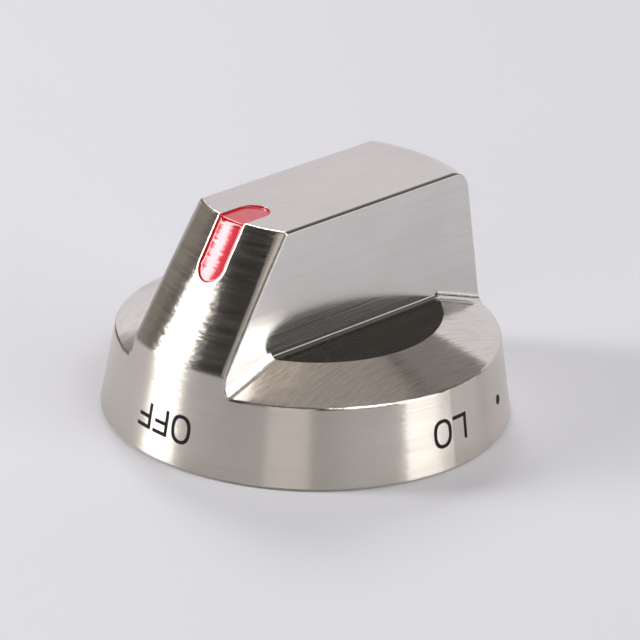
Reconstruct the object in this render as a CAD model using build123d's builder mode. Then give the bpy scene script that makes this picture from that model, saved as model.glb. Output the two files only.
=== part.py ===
"""Control knob for a cooker: a brushed die-cast shell with a grip bar and a red pointer, on a moulded hub.

Millimetres, +Z up. The origin is the centre of the rim's underside. The bar's nose faces -Y.
"""
import os
from math import atan2, cos, degrees, radians, tan

from build123d import *

# Shell, outside
rim_radius = 26.0
skirt_lean = 9.15
skirt_edge_height = 10.4
disc_radius = 16.9
disc_height = 13.2
knob_height = 29.0
bar_top_width = 15.1
bar_foot_width = 16.2
nose_top_radius = 14.3
nose_foot_height = 13.0
nose_foot_round = 1.5
rear_round = 2.8
crease_round = 1.2
disc_crease_round = 0.4
edge_round = 0.4
rim_chamfer = 0.4
wall = 2.2

# Pointer: a slot that runs over the bar's front edge, with paint on its floor
pointer_width = 4.3
pointer_rear_y = -8.35
pointer_foot_height = 21.9
pointer_depth = 0.4
paint_thickness = 0.15
paint_edge_gap = 0.05

# Posts inside the shell, and the screws that hold the hub on them
post_radius = 2.6
post_offset = 12.5
screw_radius = 1.0
screw_bite = 2.8
screw_hole_gap = 0.25
pilot_gap = 0.05
pilot_spare = 0.5
screw_head_radius = 2.2
screw_head_height = 1.4
screw_head_chamfer = 0.5
driver_slot_length = 2.6
driver_slot_width = 0.6
driver_slot_depth = 0.7

# Hub
plate_recess = 5.5
plate_thickness = 2.0
plate_gap = 0.3
stem_radius = 6.5
stem_recess = 0.5
tower_radius = 5.2
tower_cap = 1.5
rib_count = 4
rib_width = 1.6
rib_height = 1.5
rib_reach = 19.5
key_height = 17.0
key_web = 2.0
key_front_y = -12.0
key_rear_y = 14.0
key_gap = 0.2

# Shaft socket: a round lead-in, then a D for a shaft with one flat
shaft_radius = 4.0
shaft_flat = 2.5
shaft_gap = 0.05
lead_in_gap = 0.3
lead_in_depth = 3.5
socket_depth = 16.0

# Leaf spring that bears on the shaft's flat
spring_thickness = 0.35
spring_width = 4.2
spring_length = 8.4
spring_tab = 1.4
spring_crown = 2.6
spring_proud = 0.15
spring_start = 4.6
spring_pocket_depth = 0.9
spring_pocket_gap = 0.2

# Steel band round the stem
band_height = 2.6
band_thickness = 0.7
band_start = 0.4
band_gap = 0.02

# Working values
cut_margin = 5.0
touching = 0.01

# Values that follow from the sizes above
skirt_slope = tan(radians(skirt_lean))
bar_slope = (bar_foot_width - bar_top_width) / 2 / (knob_height - disc_height)
nose_foot_radius = rim_radius - nose_foot_height * skirt_slope
nose_lean = degrees(atan2(nose_foot_radius - nose_top_radius, knob_height - nose_foot_height))
ceiling = disc_height - wall
plate_top = plate_recess + plate_thickness
plate_radius = rim_radius - plate_top * skirt_slope - wall / cos(radians(skirt_lean)) - plate_gap
socket_top = stem_recess + socket_depth
flat_y = shaft_flat + shaft_gap
pocket_floor_y = flat_y + spring_pocket_depth
spring_foot = stem_recess + spring_start
post_places = [(post_offset, 0), (-post_offset, 0)]
upward = (Align.CENTER, Align.CENTER, Align.MIN)


def skirt_radius(height):
    """Outside radius of the shell's cone at a height; the bar's rear end is the same cone."""
    return rim_radius - height * skirt_slope


def bar_half_width(height):
    """Half the grip bar's width at a height."""
    return bar_top_width / 2 + (knob_height - height) * bar_slope


def turned_blank(inset):
    """The shell's form before its finger spaces are cut, with faces and rounds drawn in by inset."""
    with BuildPart() as blank:
        with BuildSketch(Plane.XZ) as rear:
            with BuildLine():
                Polyline(
                    (0, 0),
                    (rim_radius, 0),
                    (skirt_radius(knob_height), knob_height),
                    (0, knob_height),
                    close=True,
                )
            make_face()
            mirror(about=Plane.YZ)
            offset(amount=-inset, kind=Kind.INTERSECTION, mode=Mode.REPLACE)
            split(bisect_by=Plane.YZ)
            top_corner = rear.vertices().group_by(Axis.Y)[-1].sort_by(Axis.X)[-1]
            if rear_round > inset:
                fillet(top_corner, rear_round - inset)
        revolve(axis=Axis.Z, revolution_arc=180)
        with BuildSketch(Plane.XZ) as front:
            with BuildLine():
                Polyline(
                    (0, 0),
                    (rim_radius, 0),
                    (nose_foot_radius, nose_foot_height),
                    (nose_top_radius, knob_height),
                    (0, knob_height),
                    close=True,
                )
            make_face()
            mirror(about=Plane.YZ)
            offset(amount=-inset, kind=Kind.INTERSECTION, mode=Mode.REPLACE)
            split(bisect_by=Plane.YZ)
            foot_corner = front.vertices().sort_by(Axis.X)[-2]
            if nose_foot_round > inset:
                fillet(foot_corner, nose_foot_round - inset)
        revolve(axis=-Axis.Z, revolution_arc=180)
    return blank.part


def bar_slab(inset):
    """The drafted slab between the grip bar's two sides, drawn in by inset."""
    slab_top = knob_height + cut_margin
    with BuildPart() as slab:
        with BuildSketch(Plane.XZ):
            with BuildLine():
                Polyline(
                    (bar_half_width(0) - inset, 0),
                    (bar_half_width(slab_top) - inset, slab_top),
                    (inset - bar_half_width(slab_top), slab_top),
                    (inset - bar_half_width(0), 0),
                    close=True,
                )
            make_face()
        extrude(amount=rim_radius + 2 * cut_margin, both=True)
    return slab.part


def pointer_prism(edge_gap):
    """The pointer's outline over the bar's top and down its nose, as a thick layer narrowed by edge_gap."""
    half_width = pointer_width / 2 - edge_gap
    reach = 2 * pointer_depth
    top_run = nose_top_radius + pointer_rear_y
    nose_run = (knob_height - pointer_foot_height) / cos(radians(nose_lean))
    nose_face = Plane(
        origin=(0, -nose_top_radius, knob_height),
        x_dir=(1, 0, 0),
        z_dir=Vector(0, -1, 0).rotate(Axis.X, -nose_lean),
    )
    with BuildPart() as prism:
        with BuildSketch(Plane.XY.offset(knob_height)):
            with Locations((0, pointer_rear_y - pointer_width / 2)):
                Circle(half_width)
                Rectangle(2 * half_width, top_run, align=(Align.CENTER, Align.MAX))
        extrude(amount=reach, both=True)
        with BuildSketch(nose_face):
            with Locations((0, pointer_width / 2 - nose_run)):
                Circle(half_width)
                Rectangle(2 * half_width, nose_run, align=(Align.CENTER, Align.MIN))
        extrude(amount=reach, both=True)
    return prism.part


def bar_foot_edges(space):
    """Edges where a finger space's floor meets the grip bar's two sides."""
    flat_faces = space.faces().filter_by(GeomType.PLANE)
    bar_sides = flat_faces.sort_by(lambda face: abs(face.normal_at().X))[-2:]
    return ShapeList(face.edges().sort_by(Axis.Z)[0] for face in bar_sides)


outer_blank = turned_blank(0)
outer_slab = bar_slab(0)
bar_core = turned_blank(wall) & bar_slab(wall)
slot_floor = turned_blank(pointer_depth)

# Finger spaces either side of the bar: above the skirt's conical top, then down to a flat disc
space_top = knob_height + cut_margin
with BuildPart() as disc_spaces:
    with BuildSketch(Plane.XY.offset(disc_height)):
        Circle(disc_radius)
    extrude(amount=space_top - disc_height)
    add(outer_slab, mode=Mode.SUBTRACT)
    fillet(bar_foot_edges(disc_spaces), disc_crease_round)

with BuildPart() as finger_spaces:
    reach = rim_radius + cut_margin
    rim_fall = (disc_height - skirt_edge_height) / (skirt_radius(skirt_edge_height) - disc_radius)
    with BuildSketch(Plane.XZ):
        with BuildLine():
            Polyline(
                (0, disc_height + disc_radius * rim_fall),
                (reach, disc_height - (reach - disc_radius) * rim_fall),
                (reach, space_top),
                (0, space_top),
                close=True,
            )
        make_face()
    revolve(axis=Axis.Z)
    add(outer_slab, mode=Mode.SUBTRACT)
    fillet(bar_foot_edges(finger_spaces), crease_round)
    add(disc_spaces.part)

# The hollow under the skirt and up into the bar, one wall inside the outer form
with BuildPart() as hollow:
    below = -2 * wall
    with BuildSketch(Plane.XZ):
        with BuildLine():
            Polyline(
                (0, below),
                (skirt_radius(below), below),
                (skirt_radius(skirt_edge_height), skirt_edge_height),
                (disc_radius, disc_height),
                (0, disc_height),
                close=True,
            )
        make_face()
        mirror(about=Plane.YZ)
        offset(amount=-wall, kind=Kind.INTERSECTION, mode=Mode.REPLACE)
        split(bisect_by=Plane.YZ)
    revolve(axis=Axis.Z)
    add(bar_core)

with BuildPart() as knob_shell:
    add(outer_blank)
    add(finger_spaces.part, mode=Mode.SUBTRACT)
    cut_edges = knob_shell.edges(Select.LAST).filter_by(
        lambda edge: abs(edge.center().X) > bar_top_width / 2 - edge_round
        and edge.center().Z > skirt_edge_height - edge_round
        and min(face.distance_to(edge @ 0.5) for face in outer_blank.faces()) < touching
    )
    nose_edge = knob_shell.edges().filter_by(GeomType.CIRCLE).group_by(Axis.Z)[-1].sort_by(Axis.Y)[0]
    fillet(cut_edges + [nose_edge], edge_round)
    chamfer(knob_shell.edges().group_by(Axis.Z)[0], rim_chamfer)
    add(hollow.part, mode=Mode.SUBTRACT)
    with Locations(*[(x, y, plate_top) for x, y in post_places]):
        Cylinder(post_radius, ceiling + wall / 2 - plate_top, align=upward)
        Cylinder(screw_radius + pilot_gap, screw_bite + pilot_spare, align=upward, mode=Mode.SUBTRACT)
    add(pointer_prism(0) - slot_floor, mode=Mode.SUBTRACT)

with BuildPart() as pointer_paint:
    add(pointer_prism(paint_edge_gap))
    add(turned_blank(pointer_depth - paint_thickness), mode=Mode.INTERSECT)
    add(slot_floor, mode=Mode.SUBTRACT)

with BuildPart() as hub_insert:
    with BuildSketch(Plane.XY.offset(plate_recess)):
        Circle(plate_radius)
    extrude(amount=plate_thickness)
    with BuildSketch(Plane.XY.offset(stem_recess)):
        Circle(stem_radius)
    extrude(amount=plate_top - stem_recess)
    with BuildSketch(Plane.XY.offset(plate_recess)):
        Circle(tower_radius)
    extrude(amount=socket_top + tower_cap - plate_recess)
    with BuildSketch(Plane.XY.offset(plate_recess - rib_height)):
        with PolarLocations(rib_reach / 2, rib_count, start_angle=180 / rib_count):
            Rectangle(rib_reach, rib_width)
    extrude(amount=rib_height)
    with BuildSketch(Plane.XY.offset(plate_recess)):
        with Locations((0, (key_front_y + key_rear_y) / 2)):
            Rectangle(key_web, key_rear_y - key_front_y)
        with Locations((0, key_front_y), (0, key_rear_y)):
            Rectangle(2 * (bar_half_width(key_height) - wall - key_gap), key_web)
    extrude(amount=key_height - plate_recess)
    with Locations(*[(x, y, plate_recess) for x, y in post_places]):
        Cylinder(screw_radius + screw_hole_gap, plate_thickness, align=upward, mode=Mode.SUBTRACT)
    with BuildSketch(Plane.XY.offset(stem_recess)):
        Circle(shaft_radius + shaft_gap)
        with Locations((0, flat_y)):
            Rectangle(2 * tower_radius, tower_radius, align=(Align.CENTER, Align.MIN), mode=Mode.SUBTRACT)
    extrude(amount=socket_depth, mode=Mode.SUBTRACT)
    with Locations((0, 0, stem_recess)):
        Cylinder(shaft_radius + lead_in_gap, lead_in_depth, align=upward, mode=Mode.SUBTRACT)
    with Locations((0, flat_y, spring_foot - spring_pocket_gap)):
        Box(
            spring_width + 2 * spring_pocket_gap,
            spring_pocket_depth,
            spring_length + 2 * spring_pocket_gap,
            align=(Align.CENTER, Align.MIN, Align.MIN),
            mode=Mode.SUBTRACT,
        )

with BuildPart() as shaft_spring:
    crown_back = flat_y - spring_proud + spring_thickness
    middle = spring_foot + spring_length / 2
    back = [
        (pocket_floor_y, spring_foot),
        (pocket_floor_y, spring_foot + spring_tab),
        (crown_back, middle - spring_crown / 2),
        (crown_back, middle + spring_crown / 2),
        (pocket_floor_y, spring_foot + spring_length - spring_tab),
        (pocket_floor_y, spring_foot + spring_length),
    ]
    with BuildSketch(Plane.YZ):
        with BuildLine():
            Polyline(*back, *[(y - spring_thickness, z) for y, z in reversed(back)], close=True)
        make_face()
    extrude(amount=spring_width / 2, both=True)

with BuildPart() as stem_band:
    with BuildSketch(Plane.XY.offset(stem_recess + band_start)):
        Circle(stem_radius + band_gap + band_thickness)
        Circle(stem_radius + band_gap, mode=Mode.SUBTRACT)
    extrude(amount=band_height)

with BuildPart() as hub_screws:
    with Locations(*[(x, y, plate_recess) for x, y in post_places]):
        Cylinder(screw_radius, plate_thickness + screw_bite, align=upward)
        Cylinder(screw_head_radius, screw_head_height, align=(Align.CENTER, Align.CENTER, Align.MAX))
    chamfer(hub_screws.edges().group_by(Axis.Z)[0], screw_head_chamfer)
    with Locations(*[(x, y, plate_recess - screw_head_height) for x, y in post_places]):
        Box(driver_slot_length, driver_slot_width, driver_slot_depth, align=upward, mode=Mode.SUBTRACT)
        Box(driver_slot_width, driver_slot_length, driver_slot_depth, align=upward, mode=Mode.SUBTRACT)

os.makedirs("parts", exist_ok=True)
pieces = {
    "knob_shell": knob_shell,
    "pointer_paint": pointer_paint,
    "hub_insert": hub_insert,
    "shaft_spring": shaft_spring,
    "stem_band": stem_band,
    "hub_screws": hub_screws,
}
for name, piece in pieces.items():
    piece.part.label = name
    export_step(piece.part, f"parts/{name}.step")
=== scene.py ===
"""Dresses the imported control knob: brushed shell, red pointer, printed scale and the parts underneath."""
import logging
import math
import random
from collections import Counter
from collections.abc import Sequence
from dataclasses import dataclass, field
from enum import Enum

import bpy
from mathutils import Matrix, Vector
from mathutils.geometry import delaunay_2d_cdt


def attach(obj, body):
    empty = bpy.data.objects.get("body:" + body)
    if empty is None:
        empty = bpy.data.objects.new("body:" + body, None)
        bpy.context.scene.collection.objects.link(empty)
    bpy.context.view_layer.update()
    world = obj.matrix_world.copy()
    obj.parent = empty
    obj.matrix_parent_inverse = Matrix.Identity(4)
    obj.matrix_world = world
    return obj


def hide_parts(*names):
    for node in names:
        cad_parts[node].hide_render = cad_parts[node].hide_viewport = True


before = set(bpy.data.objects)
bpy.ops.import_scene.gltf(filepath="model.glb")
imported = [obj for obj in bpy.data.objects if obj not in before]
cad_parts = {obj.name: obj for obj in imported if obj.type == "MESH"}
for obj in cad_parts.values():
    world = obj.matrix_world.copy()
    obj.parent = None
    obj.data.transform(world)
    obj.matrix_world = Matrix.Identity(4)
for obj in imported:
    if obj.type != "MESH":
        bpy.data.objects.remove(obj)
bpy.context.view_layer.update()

MM = 0.001
BODY = "root"
SHARP_ANGLE = math.radians(40)
Colour = tuple[float, float, float]
Triple = tuple[float, float, float]
Span = tuple[float, float]
Point2 = tuple[float, float]
Flat = tuple[list[Point2], list[list[int]]]
Socket = bpy.types.NodeSocket

# Spans of a noise texture's grey values, from nearly all of them to the middle ones
WIDE_SPAN: Span = (0.25, 0.75)
GREY_SPAN: Span = (0.3, 0.7)
CLOUD_SPAN: Span = (0.35, 0.65)

log = logging.getLogger("knob")


class NodeSheet:
    """A node tree with short ways to add nodes and join them."""

    def __init__(self, owner: bpy.types.ID) -> None:
        """Empty the owner's node tree.

        Args:
            owner: A material or a world.
        """
        owner.use_nodes = True
        self.tree = owner.node_tree
        self.tree.nodes.clear()

    def add(self, kind: str, feeds: dict | None = None, **settings: object) -> bpy.types.Node:
        """Add a node.

        Args:
            kind: The node's type name.
            feeds: Its inputs, by name or number: a socket to link, or a value to set.
            settings: Properties of the node.

        Returns:
            The new node.
        """
        node = self.tree.nodes.new(kind)
        for name, value in settings.items():
            setattr(node, name, value)
        for key, value in (feeds or {}).items():
            if isinstance(value, Socket):
                self.tree.links.new(value, node.inputs[key])
            else:
                node.inputs[key].default_value = value
        return node

    def maths(self, operation: str, *values: Socket | float) -> Socket:
        """Add a Math node with these inputs and return its output."""
        return self.add("ShaderNodeMath", dict(enumerate(values)), operation=operation).outputs[0]

    def vector(self, operation: str, *values: Socket | Sequence[float]) -> Socket:
        """Add a Vector Math node with these inputs and return its vector."""
        return self.add("ShaderNodeVectorMath", dict(enumerate(values)), operation=operation).outputs[0]

    def stretch(self, vector: Socket, by: Sequence[float]) -> Socket:
        """Multiply a vector by three numbers and return the result."""
        return self.vector("MULTIPLY", vector, tuple(by))

    def ramp(
        self, value: Socket, low: float, high: float, out_low: float = 0.0, out_high: float = 1.0
    ) -> Socket:
        """Carry a value over smoothly from one range to another.

        Args:
            value: The socket to read.
            low: The value that gives out_low.
            high: The value that gives out_high.
            out_low: The result at and below low.
            out_high: The result at and above high.

        Returns:
            The result's socket.
        """
        feeds = {"Value": value, "From Min": low, "From Max": high, "To Min": out_low, "To Max": out_high}
        node = self.add("ShaderNodeMapRange", feeds, interpolation_type="SMOOTHSTEP")
        return node.outputs[0]

    def noise(self, vector: Socket, scale: float, detail: float = 2.0, roughness: float = 0.5) -> Socket:
        """Add a noise texture and return its grey output."""
        feeds = {"Vector": vector, "Scale": scale, "Detail": detail, "Roughness": roughness}
        return self.add("ShaderNodeTexNoise", feeds).outputs[0]

    def blend(self, factor: Socket, first: Socket | Colour, second: Socket | Colour) -> Socket:
        """Mix two colours by a factor.

        Args:
            factor: 0 gives the first colour and 1 the second.
            first: A colour, or a socket that carries one.
            second: A colour, or a socket that carries one.

        Returns:
            The mixed colour's socket.
        """
        feeds = {"Factor": factor}
        for place, colour in ((6, first), (7, second)):
            feeds[place] = colour if isinstance(colour, Socket) else (*colour, 1.0)
        return self.add("ShaderNodeMix", feeds, data_type="RGBA").outputs[2]

    def bump(self, height: Socket, depth: float, normal: Socket | None = None) -> Socket:
        """Raise a surface by a height pattern.

        Args:
            height: The pattern, from 0 to 1.
            depth: How far 1 stands above 0, in metres.
            normal: The normal to start from, or None for the surface's own.

        Returns:
            The new normal's socket.
        """
        feeds = {"Height": height, "Distance": depth, "Strength": 1.0}
        if normal is not None:
            feeds["Normal"] = normal
        return self.add("ShaderNodeBump", feeds).outputs[0]

    def surface(self, feeds: dict) -> None:
        """Add the Principled shader with these inputs and the material's output."""
        shader = self.add("ShaderNodeBsdfPrincipled", feeds)
        self.add("ShaderNodeOutputMaterial", {"Surface": shader.outputs[0]})


@dataclass(frozen=True)
class BrushedShell:
    """Brushed metal: grain round the axis on the skirt and the nose, and along the bar on the rest.

    Places and widths are in millimetres, depths in metres, and noise stretches per millimetre.
    """

    colour: Colour = (0.76, 0.73, 0.70)
    dull_colour: Colour = (0.71, 0.68, 0.65)
    turned_colour: Colour = (0.73, 0.680, 0.605)
    turned_dull_colour: Colour = (0.67, 0.620, 0.550)
    turned_roughness: float = 0.22
    flat_roughness: float = 0.105
    roughness_swing: float = 0.022
    anisotropy: float = 1.0
    brush_turn: float = 0.25
    grain_length: float = 0.30
    grain_fineness: float = 9.0
    grain_depth: float = 0.7e-6
    grain_shift: Triple = (31.0, 17.0, 53.0)
    stray_fineness: float = 3.4
    nose_stray: float = 0.040
    skirt_stray: float = 0.022
    nose_streak: float = 0.002
    stray: float = 0.004
    streak_stretch: Triple = (0.35, 0.35, 1.0)
    streak_span: Span = (0.5, 0.8)
    streak_roughness: float = 0.02
    band_stretch: Triple = (1.0, 0.2, 1.0)
    band_scale: float = 0.35
    band_share: float = 0.6
    cloud_scale: float = 0.12
    cloud_share: float = 0.4
    tint_span: Span = (0.36, 0.62)
    mark_stretch: Triple = (5.5, 0.22, 0.0)
    mark_span: Span = (0.50, 0.72)
    mark_depth: float = 3.0e-6
    mark_shade: Colour = (0.64, 0.59, 0.53)
    rim_from: Span = (0.86, 0.91)
    rim_until: Span = (0.98, 0.95)
    speck_scale: float = 0.5
    speck_span: Span = (0.025, 0.06)
    speck_depth: float = 6.0e-6
    scratch_turn: Triple = (0.5, 0.25, 0.4)
    scratch_stretch: Triple = (0.8, 0.8, 0.03)
    scratch_width: float = 0.02
    scratch_patch_scale: float = 0.16
    scratch_patch_span: Span = (0.58, 0.66)
    scratch_depth: float = 1.0e-6
    skirt_outward: float = 0.6
    nose_most_up: float = 0.75
    nose_least_up: float = 0.35
    nose_forward: float = -0.3
    skirt_inner_radius: float = 21.5
    bar_half_width: float = 8.1
    bar_top_half: float = 7.55
    bar_top: float = 29.0
    side_slope: float = 0.0357
    worn_edge: float = 1.3
    worn_edge_tip: float = 0.30
    slot_half: float = 2.15
    slot_end: float = 23.74
    nose_slope: float = 0.857
    slot_lip: float = 0.26
    slot_lip_tip: float = 0.15

    def material(self) -> bpy.types.Material:
        """Make the shell's material.

        Returns:
            The material.
        """
        made = bpy.data.materials.new("brushed_metal_finish")
        sheet = NodeSheet(made)
        place = sheet.add("ShaderNodeTexCoord")
        point = sheet.stretch(place.outputs["Object"], (1 / MM,) * 3)
        at = sheet.add("ShaderNodeSeparateXYZ", {0: point}).outputs
        nose, turned = self.zones(sheet, point, place.outputs["Normal"])
        grain = self.grain_space(sheet, at, turned)
        shifted = sheet.vector("ADD", grain, self.grain_shift)
        fine = sheet.noise(grain, 1.0, detail=3.0, roughness=0.6)
        streaks = sheet.noise(sheet.stretch(shifted, self.streak_stretch), 1.0, roughness=0.6)
        bands = sheet.noise(sheet.stretch(grain, self.band_stretch), self.band_scale, roughness=0.55)
        cloud = sheet.noise(point, self.cloud_scale)
        around = sheet.vector("NORMALIZE", sheet.vector("CROSS_PRODUCT", (0, 0, 1), point))
        feeds = {"Factor": turned, 4: (0, 1, 0), 5: around}
        brushing = sheet.add("ShaderNodeMix", feeds, data_type="VECTOR").outputs[1]
        marks = self.rim_marks(sheet, point, place.outputs["Normal"])
        normal = sheet.bump(fine, self.grain_depth)
        normal = sheet.bump(marks, self.mark_depth, normal)
        normal = sheet.bump(self.specks(sheet, point), self.speck_depth, normal)
        normal = sheet.bump(self.scratches(sheet, point), self.scratch_depth, normal)
        # Stray grooves also tip the surface along the brushing, which softens the edges of highlights
        tip = self.stray_tip(sheet, shifted, nose, turned)
        drift = sheet.maths("MULTIPLY", nose, self.nose_streak)
        drift = sheet.maths("MULTIPLY", sheet.ramp(streaks, *WIDE_SPAN, -1.0, 1.0), drift)
        tip = sheet.maths("ADD", tip, drift)
        lean = sheet.add("ShaderNodeVectorMath", {0: brushing, 3: tip}, operation="SCALE").outputs[0]
        normal = sheet.vector("NORMALIZE", sheet.vector("ADD", normal, lean))
        normal = sheet.vector("NORMALIZE", sheet.vector("ADD", normal, self.worn(sheet, at, nose)))
        rougher = sheet.maths("MULTIPLY", turned, self.turned_roughness - self.flat_roughness)
        roughness = sheet.maths("ADD", rougher, self.flat_roughness)
        hairs = sheet.maths("MULTIPLY", sheet.ramp(streaks, *self.streak_span), self.streak_roughness)
        roughness = sheet.maths("ADD", roughness, sheet.maths("MULTIPLY", hairs, nose))
        swing = sheet.ramp(bands, *GREY_SPAN, -self.roughness_swing, self.roughness_swing)
        banded = sheet.maths("MULTIPLY", bands, self.band_share)
        clouded = sheet.maths("MULTIPLY", cloud, self.cloud_share)
        tint = sheet.ramp(sheet.maths("ADD", banded, clouded), *self.tint_span)
        flat_colour = sheet.blend(tint, self.dull_colour, self.colour)
        turned_colour = sheet.blend(tint, self.turned_dull_colour, self.turned_colour)
        clean_colour = sheet.blend(turned, flat_colour, turned_colour)
        sheet.surface({
            "Base Color": sheet.blend(marks, clean_colour, self.mark_shade),
            "Metallic": 1.0,
            "Roughness": sheet.maths("ADD", roughness, swing),
            "Anisotropic": self.anisotropy,
            "Anisotropic Rotation": self.brush_turn,
            "Tangent": brushing,
            "Normal": normal,
        })
        return made

    def grain_space(self, sheet: NodeSheet, at: Sequence[Socket], turned: Socket) -> Socket:
        """Stretch space so that noise in it runs slowly along the brushing and fast across it.

        Args:
            sheet: The material's node tree.
            at: The place on the knob, in millimetres.
            turned: The mask of the faces brushed round the axis.

        Returns:
            The stretched place.
        """
        slow, fast = self.grain_length, self.grain_fineness
        pace = sheet.maths("ADD", sheet.maths("MULTIPLY", turned, slow - fast), fast)
        feeds = {
            0: sheet.maths("MULTIPLY", at[0], pace),
            1: sheet.maths("MULTIPLY", at[1], slow),
            2: sheet.maths("MULTIPLY", at[2], fast),
        }
        return sheet.add("ShaderNodeCombineXYZ", feeds).outputs[0]

    def stray_tip(self, sheet: NodeSheet, grain: Socket, nose: Socket, turned: Socket) -> Socket:
        """Find how far stray grooves tip the surface along the brushing.

        Args:
            sheet: The material's node tree.
            grain: The place in the grain's space.
            nose: The nose's mask.
            turned: The mask of the nose and the skirt together.

        Returns:
            The tip, largest on the nose and least on the flat faces.
        """
        most = sheet.maths("MULTIPLY", turned, self.skirt_stray - self.stray)
        most = sheet.maths("ADD", most, self.stray)
        most = sheet.maths("ADD", most, sheet.maths("MULTIPLY", nose, self.nose_stray - self.skirt_stray))
        grooves = sheet.noise(grain, self.stray_fineness, detail=1.0)
        return sheet.maths("MULTIPLY", sheet.ramp(grooves, *WIDE_SPAN, -1.0, 1.0), most)

    def rim_marks(self, sheet: NodeSheet, point: Socket, facing: Socket) -> Socket:
        """Draw coarse brush marks on the skirt's conical top.

        Args:
            sheet: The material's node tree.
            point: The place on the knob, in millimetres.
            facing: The normal there.

        Returns:
            The marks' mask.
        """
        upward = sheet.add("ShaderNodeSeparateXYZ", {0: facing}).outputs[2]
        rim = sheet.ramp(upward, *self.rim_from)
        rim = sheet.maths("MULTIPLY", rim, sheet.ramp(upward, *self.rim_until))
        marks = sheet.ramp(sheet.noise(sheet.stretch(point, self.mark_stretch), 1.0), *self.mark_span)
        return sheet.maths("MULTIPLY", marks, rim)

    def worn(self, sheet: NodeSheet, at: Sequence[Socket], nose: Socket) -> Socket:
        """Roll the nose off a little along its two edges and along the slot, as buffing does.

        Args:
            sheet: The material's node tree.
            at: The place on the knob, in millimetres.
            nose: The nose's mask.

        Returns:
            What to add to the normal.
        """
        beside = sheet.maths("ABSOLUTE", at[0])
        below_top = sheet.maths("SUBTRACT", self.bar_top, at[2])
        half = sheet.maths("ADD", sheet.maths("MULTIPLY", below_top, self.side_slope), self.bar_top_half)
        from_edge = sheet.maths("SUBTRACT", half, beside)
        roll = sheet.ramp(from_edge, 0.0, self.worn_edge, self.worn_edge_tip, 0.0)
        past_end = sheet.maths("MAXIMUM", sheet.maths("SUBTRACT", self.slot_end, at[2]), 0.0)
        past_end = sheet.maths("DIVIDE", past_end, self.nose_slope)
        feeds = {0: beside, 1: past_end, 2: 0.0}
        from_slot = sheet.add("ShaderNodeCombineXYZ", feeds).outputs[0]
        from_slot = sheet.add("ShaderNodeVectorMath", {0: from_slot}, operation="LENGTH").outputs["Value"]
        from_slot = sheet.maths("SUBTRACT", from_slot, self.slot_half)
        lip = sheet.ramp(from_slot, 0.0, self.slot_lip, self.slot_lip_tip, 0.0)
        amount = sheet.maths("MULTIPLY", sheet.maths("SUBTRACT", roll, lip), nose)
        amount = sheet.maths("MULTIPLY", amount, sheet.maths("SIGN", at[0]))
        return sheet.add("ShaderNodeCombineXYZ", {0: amount}).outputs[0]

    def specks(self, sheet: NodeSheet, point: Socket) -> Socket:
        """Strew a few small dents.

        Args:
            sheet: The material's node tree.
            point: The place on the knob, in millimetres.

        Returns:
            A height pattern, 0 in a dent.
        """
        feeds = {"Vector": point, "Scale": self.speck_scale}
        cells = sheet.add("ShaderNodeTexVoronoi", feeds).outputs["Distance"]
        return sheet.ramp(cells, *self.speck_span)

    def scratches(self, sheet: NodeSheet, point: Socket) -> Socket:
        """Draw a few hairline scratches across the brushing.

        Args:
            sheet: The material's node tree.
            point: The place on the knob, in millimetres.

        Returns:
            A height pattern, 0 in a scratch.
        """
        feeds = {"Vector": point, "Rotation": self.scratch_turn}
        aslant = sheet.add("ShaderNodeVectorRotate", feeds, rotation_type="EULER_XYZ").outputs[0]
        lines = sheet.noise(sheet.stretch(aslant, self.scratch_stretch), 1.0, detail=0.0)
        off_line = sheet.maths("ABSOLUTE", sheet.maths("SUBTRACT", lines, 0.5))
        patches = sheet.noise(point, self.scratch_patch_scale, detail=1.0)
        patches = sheet.ramp(patches, *self.scratch_patch_span)
        depth = sheet.maths("MULTIPLY", sheet.ramp(off_line, 0.0, self.scratch_width, 1.0, 0.0), patches)
        return sheet.maths("SUBTRACT", 1.0, depth)

    def zones(self, sheet: NodeSheet, point: Socket, facing: Socket) -> tuple[Socket, Socket]:
        """Find the faces that are brushed round the axis.

        Args:
            sheet: The material's node tree.
            point: The place on the knob, in millimetres.
            facing: The normal there.

        Returns:
            Masks of the nose, and of the nose and the skirt together.
        """
        at = sheet.add("ShaderNodeSeparateXYZ", {0: point}).outputs
        normal = sheet.add("ShaderNodeSeparateXYZ", {0: facing}).outputs
        flat = sheet.stretch(point, (1.0, 1.0, 0.0))
        reach = sheet.add("ShaderNodeVectorMath", {0: flat}, operation="LENGTH").outputs["Value"]
        feeds = {0: sheet.vector("NORMALIZE", flat), 1: facing}
        outward = sheet.add("ShaderNodeVectorMath", feeds, operation="DOT_PRODUCT").outputs["Value"]
        far = sheet.maths("GREATER_THAN", reach, self.skirt_inner_radius)
        skirt = sheet.maths("MULTIPLY", far, sheet.maths("GREATER_THAN", outward, self.skirt_outward))
        on_bar = sheet.maths("LESS_THAN", sheet.maths("ABSOLUTE", at[0]), self.bar_half_width)
        leaning = sheet.maths("LESS_THAN", normal[2], self.nose_most_up)
        forward = sheet.maths("LESS_THAN", normal[1], self.nose_forward)
        nose = sheet.maths("MULTIPLY", on_bar, sheet.maths("MULTIPLY", leaning, forward))
        high = sheet.maths("GREATER_THAN", normal[2], self.nose_least_up)
        return sheet.maths("MULTIPLY", nose, high), sheet.maths("MAXIMUM", skirt, nose)


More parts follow.
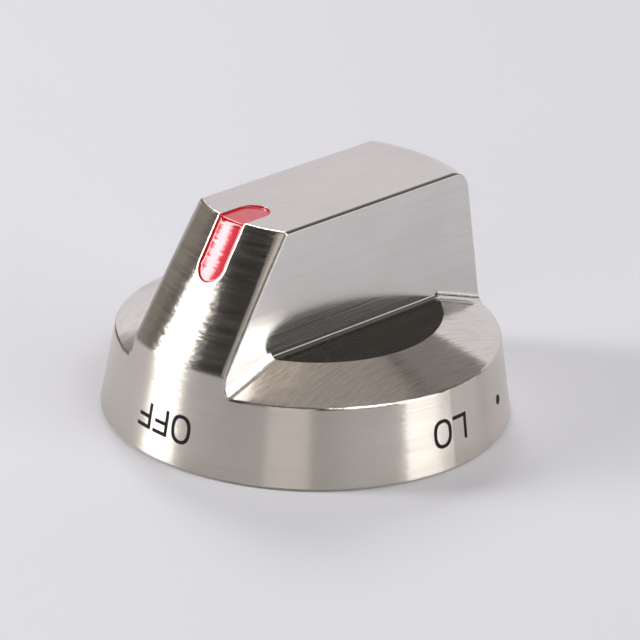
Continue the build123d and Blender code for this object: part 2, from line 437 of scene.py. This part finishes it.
@dataclass(frozen=True)
class RedLacquer:
    """Clear red lacquer over a brushed floor: thin and pale on the floor, deep red where it lies thick, and
    deep red along the fold as painted shade.
    """

    colour: Colour = (0.64, 0.026, 0.048)
    pale_colour: Colour = (0.68, 0.040, 0.066)
    # The deep red of thick lacquer, also painted along the fold as painted shade
    thick_and_fold_shade_colour: Colour = (0.62, 0.004, 0.012)
    roughness: float = 0.24
    roughness_swing: float = 0.05
    floor_metal: float = 0.15
    specular: float = 0.05
    coat_bend: float = 1.6
    coat_roughness: float = 0.10
    grain_stretch: Triple = (300.0, 300.0, 9000.0)
    grain_depth: float = 2.0e-6
    stray_stretch: Triple = (250.0, 250.0, 7000.0)
    stray: float = 0.024
    cloud_scale: float = 700.0
    thickness: str = "lacquer_thick_and_fold_shade"

    def material(self) -> bpy.types.Material:
        """Make the pointer's material.

        Returns:
            The material.
        """
        made = bpy.data.materials.new("pointer_red_finish")
        sheet = NodeSheet(made)
        place = sheet.add("ShaderNodeTexCoord").outputs["Object"]
        # How thick the lacquer lies, raised along the fold to paint shade there
        thick = sheet.add("ShaderNodeAttribute", attribute_name=self.thickness).outputs["Fac"]
        fine = sheet.noise(sheet.stretch(place, self.grain_stretch), 1.0)
        cloud = sheet.noise(place, self.cloud_scale)
        floor = sheet.blend(sheet.ramp(cloud, *CLOUD_SPAN), self.colour, self.pale_colour)
        # The brushed floor under the film tips the highlight's edge to and fro
        tips = sheet.noise(sheet.stretch(place, self.stray_stretch), 1.0, roughness=0.6)
        tip = sheet.ramp(tips, *WIDE_SPAN, -self.stray, self.stray)
        lean = sheet.add("ShaderNodeVectorMath", {0: (1, 0, 0), 3: tip}, operation="SCALE").outputs[0]
        normal = sheet.vector("NORMALIZE", sheet.vector("ADD", sheet.bump(fine, self.grain_depth), lean))
        least, most = self.roughness - self.roughness_swing, self.roughness + self.roughness_swing
        sheet.surface({
            # Deep red where the lacquer lies thick, and painted shade in the same deep red along the fold
            "Base Color": sheet.blend(thick, floor, self.thick_and_fold_shade_colour),
            "Metallic": sheet.ramp(thick, 0.0, 1.0, self.floor_metal, 0.0),
            "Specular IOR Level": self.specular,
            "Roughness": sheet.ramp(fine, *GREY_SPAN, least, most),
            "Coat Weight": 1.0,
            "Coat IOR": self.coat_bend,
            "Coat Roughness": self.coat_roughness,
            "Normal": normal,
            "Coat Normal": normal,
        })
        return made


@dataclass(frozen=True)
class ScaleInk:
    """Black print, a little uneven where it lies on the brushing."""

    colour: Colour = (0.004, 0.004, 0.005)
    thin_colour: Colour = (0.012, 0.012, 0.012)
    line_stretch: Triple = (150.0, 150.0, 5000.0)
    line_depth: float = 1.0e-6
    thin_span: Span = (0.35, 0.7)
    roughness: Span = (0.52, 0.65)
    specular: float = 0.2

    def material(self) -> bpy.types.Material:
        """Make the print's material.

        Returns:
            The material.
        """
        made = bpy.data.materials.new("scale_ink_finish")
        sheet = NodeSheet(made)
        place = sheet.add("ShaderNodeTexCoord").outputs["Object"]
        lines = sheet.noise(sheet.stretch(place, self.line_stretch), 1.0)
        sheet.surface({
            "Base Color": sheet.blend(sheet.ramp(lines, *self.thin_span), self.colour, self.thin_colour),
            "Roughness": sheet.ramp(lines, *GREY_SPAN, *self.roughness),
            "Specular IOR Level": self.specular,
            "Normal": sheet.bump(lines, self.line_depth),
        })
        return made


@dataclass(frozen=True)
class HubPlastic:
    """Dark moulded plastic with a fine spark-eroded grain and faint flow marks."""

    colour: Colour = (0.030, 0.030, 0.032)
    flow_colour: Colour = (0.052, 0.051, 0.051)
    flow_stretch: Triple = (90.0, 90.0, 260.0)
    flow_span: Span = (0.4, 0.7)
    roughness: Span = (0.46, 0.6)
    grain_scale: float = 4200.0
    grain_depth: float = 1.2e-5

    def material(self) -> bpy.types.Material:
        """Make the hub's material.

        Returns:
            The material.
        """
        made = bpy.data.materials.new("hub_plastic_finish")
        sheet = NodeSheet(made)
        place = sheet.add("ShaderNodeTexCoord").outputs["Object"]
        grain = sheet.noise(place, self.grain_scale, detail=3.0)
        flow = sheet.noise(sheet.stretch(place, self.flow_stretch), 1.0, detail=3.0)
        sheet.surface({
            "Base Color": sheet.blend(sheet.ramp(flow, *self.flow_span), self.colour, self.flow_colour),
            "Roughness": sheet.ramp(flow, *GREY_SPAN, *self.roughness),
            "Normal": sheet.bump(grain, self.grain_depth),
        })
        return made


class SteelGrain(Enum):
    """How a small steel piece was worked, as a stretch of its noise."""

    ROLLED = (5200.0, 5200.0, 260.0)
    SPUN = (260.0, 260.0, 5200.0)
    PLATED = (1300.0, 1300.0, 1300.0)


@dataclass(frozen=True)
class SmallSteel:
    """Steel of the spring, the band and the screws."""

    name: str
    grain: SteelGrain
    colour: Colour
    dull_colour: Colour
    roughness: float
    roughness_swing: float = 0.07
    line_depth: float = 1.5e-6
    cloud_scale: float = 420.0

    def material(self) -> bpy.types.Material:
        """Make this piece's steel.

        Returns:
            The material.
        """
        made = bpy.data.materials.new(self.name)
        sheet = NodeSheet(made)
        place = sheet.add("ShaderNodeTexCoord").outputs["Object"]
        lines = sheet.noise(sheet.stretch(place, self.grain.value), 1.0, detail=3.0)
        cloud = sheet.noise(place, self.cloud_scale)
        least, most = self.roughness - self.roughness_swing, self.roughness + self.roughness_swing
        sheet.surface({
            "Base Color": sheet.blend(sheet.ramp(cloud, *CLOUD_SPAN), self.dull_colour, self.colour),
            "Metallic": 1.0,
            "Roughness": sheet.ramp(lines, *GREY_SPAN, least, most),
            "Normal": sheet.bump(lines, self.line_depth),
        })
        return made


@dataclass(frozen=True)
class TablePaint:
    """The pale, faintly cool table."""

    colour: Colour = (0.80, 0.80, 0.855)
    shade: Colour = (0.785, 0.785, 0.84)
    cloud_scale: float = 6.0
    roughness: float = 0.55
    specular: float = 0.3

    def material(self) -> bpy.types.Material:
        """Make the table's material.

        Returns:
            The material.
        """
        made = bpy.data.materials.new("table_finish")
        sheet = NodeSheet(made)
        place = sheet.add("ShaderNodeTexCoord").outputs["Object"]
        cloud = sheet.noise(place, self.cloud_scale)
        sheet.surface({
            "Base Color": sheet.blend(sheet.ramp(cloud, *CLOUD_SPAN), self.shade, self.colour),
            "Roughness": self.roughness,
            "Specular IOR Level": self.specular,
        })
        return made


def ring_faces(rings: int, count: int) -> list[list[int]]:
    """Join rings of points, one after the other, with quads.

    Args:
        rings: How many rings there are.
        count: How many points each ring has.

    Returns:
        The quads, as numbers of points.
    """
    faces: list[list[int]] = []
    for low in range(0, (rings - 1) * count, count):
        for i in range(count):
            j = (i + 1) % count
            faces.append([low + i, low + j, low + count + j, low + count + i])
    return faces


def dress_node(node: str, finish: bpy.types.Material) -> None:
    """Give a CAD node one material.

    Args:
        node: The node's name.
        finish: The material.
    """
    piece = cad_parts[node]
    piece.data.materials.clear()
    piece.data.materials.append(finish)
    log.info("dressed %s with %s", node, finish.name)


def new_piece(
    name: str, points: Sequence[Vector], faces: Sequence[Sequence[int]], finish: bpy.types.Material
) -> bpy.types.Object:
    """Make a mesh piece that rides with the knob.

    Args:
        name: The piece's name.
        points: Its points, in metres.
        faces: Its faces, as numbers of points.
        finish: Its material.

    Returns:
        The new object.
    """
    mesh = bpy.data.meshes.new(name)
    mesh.from_pydata([tuple(p) for p in points], [], [tuple(f) for f in faces])
    mesh.validate()
    mesh.polygons.foreach_set("use_smooth", [True] * len(mesh.polygons))
    mesh.set_sharp_from_angle(angle=SHARP_ANGLE)
    mesh.materials.append(finish)
    piece = bpy.data.objects.new(name, mesh)
    bpy.context.scene.collection.objects.link(piece)
    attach(piece, BODY)
    log.info("built %s with %d faces", name, len(faces))
    return piece


@dataclass
class Shell:
    """The casting. Its CAD solid has the true form, so it is dressed as it is."""

    node: str = "knob_shell"
    finish: BrushedShell = field(default_factory=BrushedShell)

    def dress(self) -> None:
        """Give the casting its brushed finish."""
        dress_node(self.node, self.finish.material())


@dataclass
class Pointer:
    """The red lacquer in the pointer's slot, with a film up the slot's wall. Sizes in millimetres."""

    node: str = "pointer_paint"
    slot: str = "pointer_red"
    half_width: float = 2.15
    rear_y: float = -8.35
    top_z: float = 29.0
    foot_z: float = 21.9
    nose_top_radius: float = 14.3
    nose_lean: float = 30.99
    floor_depth: float = 0.385
    lacquer_depth: float = 0.245
    wall_gap: float = 0.015
    film: float = 0.05
    corner: float = 0.40
    fold_round: float = 0.55
    # The band of painted shade along the fold: its reach, its offset down the nose and the sharpness of its
    # edge
    fold_shade_reach: float = 0.50
    fold_shade_offset: float = 0.25
    fold_shade_edge: int = 4
    bow_reach: float = 2.0
    brim: float = 0.04
    brim_swing: Span = (0.6, 1.6)
    arc_points: int = 27
    stops: int = 30
    fold_stops: int = 8
    fold_step: float = 0.09
    under_shares: tuple[float, ...] = (0.06, 0.3, 0.6, 0.85)
    corner_turns: tuple[float, ...] = (0.15, 0.35, 0.6, 0.85, 1.0)
    corner_thinning: float = 0.5
    floor_shares: tuple[float, ...] = (0.88, 0.6, 0.4, 0.2, 0.06)
    chip_run: float = 12.1
    chip_half: float = 0.22
    chip_depth: float = 0.2
    seed: int = 7
    finish: RedLacquer = field(default_factory=RedLacquer)
    lean: float = field(init=False)
    top_run: float = field(init=False)
    run: float = field(init=False)

    def __post_init__(self) -> None:
        """Work out the run over the top and down the nose."""
        self.lean = math.radians(self.nose_lean)
        self.top_run = self.nose_top_radius + self.rear_y
        self.run = self.top_run + (self.top_z - self.foot_z) / math.cos(self.lean)

    def outline(self, inset: float) -> list[Point2]:
        """The slot's round-ended outline, drawn in.

        Args:
            inset: How far it is drawn in from the slot's wall.

        Returns:
            Points of sideways place and run from the rear end, once round.
        """
        radius = self.half_width - inset
        first, last = self.half_width, self.run - self.half_width
        even = {first + (last - first) * i / self.stops for i in range(self.stops + 1)}
        near_fold = range(-self.fold_stops, self.fold_stops + 1)
        stops = sorted(even | {self.top_run + step * self.fold_step for step in near_fold})
        arcs = [math.pi * i / (self.arc_points + 1) for i in range(1, self.arc_points + 1)]
        right = [(radius, s) for s in stops]
        foot = [(radius * math.cos(a), last + radius * math.sin(a)) for a in arcs]
        left = [(-radius, s) for s in reversed(stops)]
        rear = [(-radius * math.cos(a), first - radius * math.sin(a)) for a in arcs]
        return right + foot + left + rear

    def place(self, across: float, run: float, depth: float) -> Vector:
        """A point of the slot in space.

        Args:
            across: Sideways place.
            run: Distance from the slot's rear end, over the top and down the nose.
            depth: Depth below the metal.

        Returns:
            The point, in metres.
        """
        beyond = run - self.top_run
        half_turn = (math.pi / 2 - self.lean) / 2
        # The brim keeps the slot's sharp fold, and the lacquer below it is rounded
        reach = self.fold_round * math.tan(half_turn) if depth > 2 * self.brim else 0.0
        shift = depth * math.tan(half_turn)
        corner_r, corner_z = self.nose_top_radius - shift, self.top_z - depth
        if abs(beyond) < reach:
            turn = (beyond / reach + 1) * half_turn
            centre_r, centre_z = corner_r - reach, corner_z - self.fold_round
            radius = centre_r + self.fold_round * math.sin(turn)
            height = centre_z + self.fold_round * math.cos(turn)
        elif beyond < 0:
            radius, height = corner_r + beyond, corner_z
        else:
            radius = corner_r + beyond * math.sin(self.lean)
            height = corner_z - beyond * math.cos(self.lean)
        bow = self.nose_top_radius - math.sqrt(self.nose_top_radius ** 2 - across ** 2)
        ease = min(max((beyond + self.bow_reach) / self.bow_reach, 0.0), 1.0)
        return Vector((across, -radius + bow * ease * ease * (3 - 2 * ease), height)) * MM

    def brim_depth(self, across: float, run: float, draw: random.Random) -> float:
        """How far below the metal the film's upper edge lies at a place.

        Args:
            across: Sideways place.
            run: Distance from the slot's rear end.
            draw: Random numbers for the unevenness.

        Returns:
            The depth, larger at the chip in the left edge.
        """
        chip = math.exp(-((run - self.chip_run) / self.chip_half) ** 2) if across < 0 else 0.0
        return self.brim * draw.uniform(*self.brim_swing) + self.chip_depth * chip

    def cap(self, ring: list[int]) -> list[list[int]]:
        """Close a ring with faces that run straight across it.

        Args:
            ring: The numbers of the ring's points, in the outline's order.

        Returns:
            The faces, from the foot's end to the rear end.
        """
        count = len(ring)
        foot = count // 2 - self.arc_points + self.arc_points // 2
        left = [ring[(foot + i) % count] for i in range(count // 2 + 1)]
        right = [ring[foot - i] for i in range(count // 2 + 1)]
        return [
            list(dict.fromkeys((right[i + 1], right[i], left[i], left[i + 1])))
            for i in range(count // 2)
        ]

    def fold_shade_share(self, run: float) -> float:
        """How strongly the fold's painted shade gives the lacquer the deep red of thick lacquer at a run,
        from 0 away from the fold to 1 on it.
        """
        return math.exp(-((run - self.top_run - self.fold_shade_offset) / self.fold_shade_reach) ** self.fold_shade_edge)

    def build(self) -> None:
        """Build the lacquer as one closed skin: underside, outer wall, brim, corner and floor."""
        draw = random.Random(self.seed)
        edge = self.wall_gap
        brims = [self.brim_depth(x, s, draw) for x, s in self.outline(edge)]
        inner = edge + self.film
        half = self.half_width
        floor_width = half - inner - self.corner
        # Each ring: how far it is drawn in, how it falls from brim to depth, the depth and how thick the
        # lacquer lies
        levels = [(half * (1 - share), 1.0, self.floor_depth, 0.0) for share in self.under_shares]
        levels += [(edge, 1.0, self.floor_depth, 1.0), (edge, 0.0, 0.0, 1.0), (inner, 0.0, 0.0, 1.0)]
        for turn in self.corner_turns:
            sweep = turn * math.pi / 2
            inset = inner + self.corner * (1 - math.cos(sweep))
            thick = 1.0 - self.corner_thinning * turn ** 3
            levels.append((inset, math.sin(sweep), self.lacquer_depth, thick))
        for share in self.floor_shares:
            levels.append((half - share * floor_width, 1.0, self.lacquer_depth, 0.0))
        points: list[Vector] = []
        thickness: list[float] = []
        for inset, fall, depth, thick in levels:
            for (x, s), brim in zip(self.outline(inset), brims):
                points.append(self.place(x, s, brim + (depth - brim) * fall))
                # Along the fold the lacquer gets painted shade: the thick deep red and no metal, though it
                # lies no thicker there
                thickness.append(max(thick, self.fold_shade_share(s)))
        count = len(brims)
        faces = ring_faces(len(levels), count)
        last = (len(levels) - 1) * count
        faces += [list(reversed(f)) for f in self.cap(list(range(count)))]
        faces += self.cap(list(range(last, last + count)))
        piece = new_piece("pointer_lacquer", points, faces, self.finish.material())
        layer = piece.data.attributes.new(self.finish.thickness, "FLOAT", "POINT")
        layer.data.foreach_set("value", thickness)
        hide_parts(self.node)


class Glyph(Enum):
    """The letters of the scale."""

    F = "F"
    H = "H"
    I = "I"
    L = "L"
    O = "O"


@dataclass
class PrintedScale:
    """OFF, LO, HI and dots round the skirt, upside down as the knob stands. In millimetres and degrees."""

    rim_radius: float = 26.0
    skirt_lean: float = 9.15
    middle_z: float = 5.08
    cap_height: float = 3.35
    stroke: float = 0.46
    arm: float = 2.45
    round_width: float = 2.92
    round_height: float = 3.68
    ink: float = 0.025
    bar_share: float = 0.46
    short_arm: float = 0.9
    ring_points: int = 72
    ring_bands: int = 3
    ring_power: float = 0.82
    dot: float = 1.25
    dot_count: int = 6
    dot_span: float = 180.0
    dot_points: int = 32
    dot_rings: tuple[float, ...] = (1.0, 0.66, 0.33)
    step: float = 0.3
    weld: float = 1e-6
    finish: ScaleInk = field(default_factory=ScaleInk)
    words: tuple[tuple[str, tuple[tuple[Glyph, float], ...]], ...] = (
        ("off", ((Glyph.O, -83.0), (Glyph.F, -90.6), (Glyph.F, -97.3))),
        ("lo", ((Glyph.L, 3.1), (Glyph.O, -3.75))),
        ("hi", ((Glyph.H, 182.2), (Glyph.I, 176.6))),
    )

    def outlines(self, glyph: Glyph) -> list[Point2]:
        """A straight letter's outline about its middle, read upright.

        Args:
            glyph: Any letter but O.

        Returns:
            Corners, once round.
        """
        t, w, h = self.stroke, self.arm, self.cap_height
        middle, short = self.bar_share * h, self.short_arm * w
        corners = {
            Glyph.F: [(0, 0), (t, 0), (t, middle), (short, middle), (short, middle + t), (t, middle + t),
                      (t, h - t), (w, h - t), (w, h), (0, h)],
            Glyph.L: [(0, 0), (w, 0), (w, t), (t, t), (t, h), (0, h)],
            Glyph.H: [(0, 0), (t, 0), (t, middle), (w - t, middle), (w - t, 0), (w, 0), (w, h), (w - t, h),
                      (w - t, middle + t), (t, middle + t), (t, h), (0, h)],
            Glyph.I: [(0, 0), (t, 0), (t, h), (0, h)],
        }[glyph]
        wide = max(x for x, _ in corners)
        return [(x - wide / 2, y - h / 2) for x, y in corners]

    def on_skirt(self, angle: float, right: float, up: float, proud: float) -> Vector:
        """A point of a letter on the skirt.

        Args:
            angle: The letter's middle, in degrees round the axis.
            right: Place to the right of the middle, read upright.
            up: Place above the middle, read upright.
            proud: Height above the metal.

        Returns:
            The point, in metres.
        """
        lean = math.radians(self.skirt_lean)
        z = self.middle_z - up * math.cos(lean)
        radius = self.rim_radius - z * math.tan(lean)
        turn = math.radians(angle) - right / radius
        reach = radius + proud * math.cos(lean)
        return Vector((reach * math.cos(turn), reach * math.sin(turn), z + proud * math.sin(lean))) * MM

    def filled(self, corners: list[Point2]) -> Flat:
        """Fill an outline with small triangles, so that it can follow the cone.

        Args:
            corners: The outline's corners.

        Returns:
            The points and the triangles.
        """
        edge: list[Point2] = []
        for (x0, y0), (x1, y1) in zip(corners, corners[1:] + corners[:1]):
            parts = max(1, round(math.dist((x0, y0), (x1, y1)) / self.step))
            edge += [(x0 + (x1 - x0) * i / parts, y0 + (y1 - y0) * i / parts) for i in range(parts)]
        rows = [Vector(p) for p in edge]
        ties = [(i, (i + 1) % len(edge)) for i in range(len(edge))]
        inside = 1
        verts, _, faces, *_ = delaunay_2d_cdt(rows, ties, [list(range(len(edge)))], inside, self.weld)
        return [(v.x, v.y) for v in verts], [list(f) for f in faces]

    def ring(self) -> Flat:
        """The letter O as a band of quads.

        Returns:
            The points and the quads.
        """
        count, bands = self.ring_points, self.ring_bands
        points: list[Point2] = []
        for band in range(bands):
            inset = self.stroke * band / (bands - 1)
            a, b = self.round_width / 2 - inset, self.round_height / 2 - inset
            for i in range(count):
                turn = 2 * math.pi * i / count
                c, s = math.cos(turn), math.sin(turn)
                points.append((
                    math.copysign(a * abs(c) ** self.ring_power, c),
                    math.copysign(b * abs(s) ** self.ring_power, s),
                ))
        return points, ring_faces(bands, count)

    def round_dot(self) -> Flat:
        """A dot as rings of quads round a middle.

        Returns:
            The points and the faces.
        """
        count, rings = self.dot_points, self.dot_rings
        turns = [2 * math.pi * i / count for i in range(count)]
        half = self.dot / 2
        points = [(half * r * math.cos(turn), half * r * math.sin(turn)) for r in rings for turn in turns]
        points.append((0.0, 0.0))
        faces = ring_faces(len(rings), count)
        inner = (len(rings) - 1) * count
        faces += [[inner + i, inner + (i + 1) % count, len(points) - 1] for i in range(count)]
        return points, faces

    def layer(
        self, flat: list[Point2], faces: list[list[int]], angle: float
    ) -> tuple[list[Vector], list[list[int]]]:
        """Turn a flat shape into a thin closed layer on the skirt.

        Args:
            flat: The shape's points.
            faces: The shape's faces.
            angle: Where its middle stands round the axis, in degrees.

        Returns:
            The layer's points and faces.
        """
        count = len(flat)
        points = [self.on_skirt(angle, x, y, self.ink) for x, y in flat]
        points += [self.on_skirt(angle, x, y, 0.0) for x, y in flat]
        edges = Counter(frozenset(pair) for f in faces for pair in zip(f, f[1:] + f[:1]))
        skin = [list(f) for f in faces] + [[count + i for i in reversed(f)] for f in faces]
        for f in faces:
            for i, j in zip(f, f[1:] + f[:1]):
                if edges[frozenset((i, j))] == 1:
                    skin.append([j, i, count + i, count + j])
        return points, skin

    def build(self) -> None:
        """Print the words and the dots."""
        finish = self.finish.material()
        for word, letters in self.words:
            points: list[Vector] = []
            faces: list[list[int]] = []
            for glyph, angle in letters:
                shape = self.ring() if glyph is Glyph.O else self.filled(self.outlines(glyph))
                more_points, more_faces = self.layer(*shape, angle)
                faces += [[i + len(points) for i in f] for f in more_faces]
                points += more_points
            new_piece(f"scale_{word}", points, faces, finish)
        for number in range(1, self.dot_count + 1):
            angle = self.dot_span * number / (self.dot_count + 1)
            new_piece(f"scale_dot_{number}", *self.layer(*self.round_dot(), angle), finish)


@dataclass
class Fittings:
    """The hub, its spring, its band and its screws, under the shell."""

    hub: HubPlastic = field(default_factory=HubPlastic)
    spring: SmallSteel = SmallSteel(
        "spring_steel_finish", SteelGrain.ROLLED, (0.55, 0.55, 0.56), (0.42, 0.42, 0.43), 0.28)
    band: SmallSteel = SmallSteel(
        "band_steel_finish", SteelGrain.SPUN, (0.60, 0.59, 0.57), (0.47, 0.46, 0.45), 0.30)
    screws: SmallSteel = SmallSteel(
        "screw_steel_finish", SteelGrain.PLATED, (0.66, 0.65, 0.62), (0.52, 0.51, 0.48), 0.22)

    def dress(self) -> None:
        """Give each fitting its finish."""
        dress_node("hub_insert", self.hub.material())
        dress_node("shaft_spring", self.spring.material())
        dress_node("stem_band", self.band.material())
        dress_node("hub_screws", self.screws.material())


@dataclass(frozen=True)
class SoftLamp:
    """A soft rectangular lamp that faces the knob. Angles in degrees, sizes in metres."""

    name: str
    bearing: float
    height: float
    distance: float
    width: float
    tall: float
    brightness: float
    colour: Colour = (1.0, 1.0, 1.0)

    def build(self) -> None:
        """Hang the lamp."""
        turn, rise = math.radians(self.bearing), math.radians(self.height)
        way = Vector((math.cos(turn) * math.cos(rise), math.sin(turn) * math.cos(rise), math.sin(rise)))
        lamp = bpy.data.lights.new(self.name, "AREA")
        lamp.shape = "RECTANGLE"
        lamp.size, lamp.size_y = self.width, self.tall
        lamp.energy = self.brightness * math.pi * self.width * self.tall
        lamp.color = self.colour
        hung = bpy.data.objects.new(self.name, lamp)
        hung.location = way * self.distance
        hung.rotation_mode = "QUATERNION"
        hung.rotation_quaternion = way.to_track_quat("Z", "Y")
        bpy.context.scene.collection.objects.link(hung)
        log.info("hung %s", self.name)


@dataclass
class Studio:
    """Table, lamps, dim surroundings and the camera.

    The table, the lamps and the clipping are in metres, the camera's place in millimetres and degrees.
    """

    table_half: float = 3.0
    table_steps: tuple[float, ...] = (-1.0, -0.3, -0.1, 0.0, 0.1, 0.3, 1.0)
    dim: Colour = (0.032, 0.030, 0.026)
    table: TablePaint = field(default_factory=TablePaint)
    lamps: tuple[SoftLamp, ...] = (
        SoftLamp("left_strip", 222.8, 29.0, 0.9, 0.178, 0.48, 13.0),
        SoftLamp("left_strip_foot", 228.7, 7.0, 0.9, 0.36, 0.28, 6.0),
        SoftLamp("right_panel", 22.0, 30.0, 1.0, 0.44, 1.10, 1.9),
        SoftLamp("right_panel_foot", 25.0, 4.0, 1.0, 0.50, 0.20, 3.2),
        SoftLamp("rear_panel", 118.0, 16.0, 1.2, 2.2, 0.66, 0.75, (0.985, 0.955, 1.0)),
        SoftLamp("rear_panel_top", 118.0, 41.0, 1.2, 1.9, 0.48, 0.22, (1.0, 0.94, 0.88)),
        SoftLamp("ceiling_panel", 130.0, 76.0, 1.2, 0.9, 0.9, 0.32, (1.0, 0.92, 0.84)),
        SoftLamp("rim_glow", 38.0, 66.0, 1.1, 0.36, 0.36, 0.44, (1.0, 0.88, 0.76)),
        SoftLamp("rear_key", 146.0, 43.5, 1.1, 0.32, 0.30, 8.8),
        SoftLamp("overhead", 0.0, 57.0, 1.1, 0.44, 0.44, 4.6),
        SoftLamp("front_panel", 305.0, 24.0, 1.0, 0.42, 0.80, 0.80, (1.0, 0.96, 0.92)),
        SoftLamp("front_panel_side", 284.0, 32.0, 1.0, 0.22, 0.40, 0.5),
        SoftLamp("side_fill", 52.0, 8.5, 1.0, 0.5, 0.36, 0.42),
        SoftLamp("side_fill_foot", 51.0, 3.0, 1.0, 0.5, 0.12, 0.75),
        SoftLamp("edge_fill", 68.0, 45.0, 1.0, 0.30, 0.30, 0.13),
        SoftLamp("left_fill", 187.0, 20.0, 1.0, 0.6, 0.6, 0.19, (1.0, 0.90, 0.80)),
    )
    bearing: float = 43.706
    rise: float = 23.488
    roll: float = 2.142
    distance: float = 557.241
    aim_right: float = 1.838
    aim_up: float = 10.552
    lens: float = 247.5
    sensor: float = 36.0
    clip: Span = (0.01, 20.0)

    def build(self) -> None:
        """Set up the table, lamps, surroundings and camera."""
        self.build_table()
        for lamp in self.lamps:
            lamp.build()
        self.build_surroundings()
        self.build_camera()

    def build_table(self) -> None:
        """Lay the table under the knob."""
        places = [step * self.table_half for step in self.table_steps]
        points = [(x, y, 0.0) for y in places for x in places]
        n = len(places)
        corners = [row * n + i for row in range(n - 1) for i in range(n - 1)]
        faces = [(first, first + 1, first + n + 1, first + n) for first in corners]
        mesh = bpy.data.meshes.new("table")
        mesh.from_pydata(points, [], faces)
        mesh.materials.append(self.table.material())
        table = bpy.data.objects.new("table", mesh)
        bpy.context.scene.collection.objects.link(table)

    def build_surroundings(self) -> None:
        """Leave the room dim, so that the lamps show in the metal."""
        world = bpy.data.worlds.new("dim_room")
        bpy.context.scene.world = world
        sheet = NodeSheet(world)
        glow = sheet.add("ShaderNodeBackground", {"Color": (*self.dim, 1.0), "Strength": 1.0})
        sheet.add("ShaderNodeOutputWorld", {"Surface": glow.outputs[0]})
        bpy.context.scene.view_settings.view_transform = "Standard"

    def build_camera(self) -> None:
        """Stand the camera where the photograph was taken from."""
        a, e, r = (math.radians(x) for x in (self.bearing, self.rise, self.roll))
        back = Vector((math.sin(a) * math.cos(e), -math.cos(a) * math.cos(e), math.sin(e)))
        level = Vector((math.cos(a), math.sin(a), 0.0))
        above = back.cross(level)
        right = level * math.cos(r) + above * math.sin(r)
        up = above * math.cos(r) - level * math.sin(r)
        camera = bpy.data.objects.new("camera", bpy.data.cameras.new("camera"))
        camera.data.lens, camera.data.sensor_width = self.lens, self.sensor
        camera.data.clip_start, camera.data.clip_end = self.clip
        pose = Matrix((right, up, back)).transposed().to_4x4()
        pose.translation = (right * self.aim_right + up * self.aim_up + back * self.distance) * MM
        camera.matrix_world = pose
        bpy.context.scene.collection.objects.link(camera)
        bpy.context.scene.camera = camera


def main() -> None:
    """Build and dress the knob, then the studio."""
    logging.basicConfig(level=logging.INFO, format="%(name)s: %(message)s")
    Shell().dress()
    Pointer().build()
    PrintedScale().build()
    Fittings().dress()
    Studio().build()


if __name__ == "__main__":
    main()
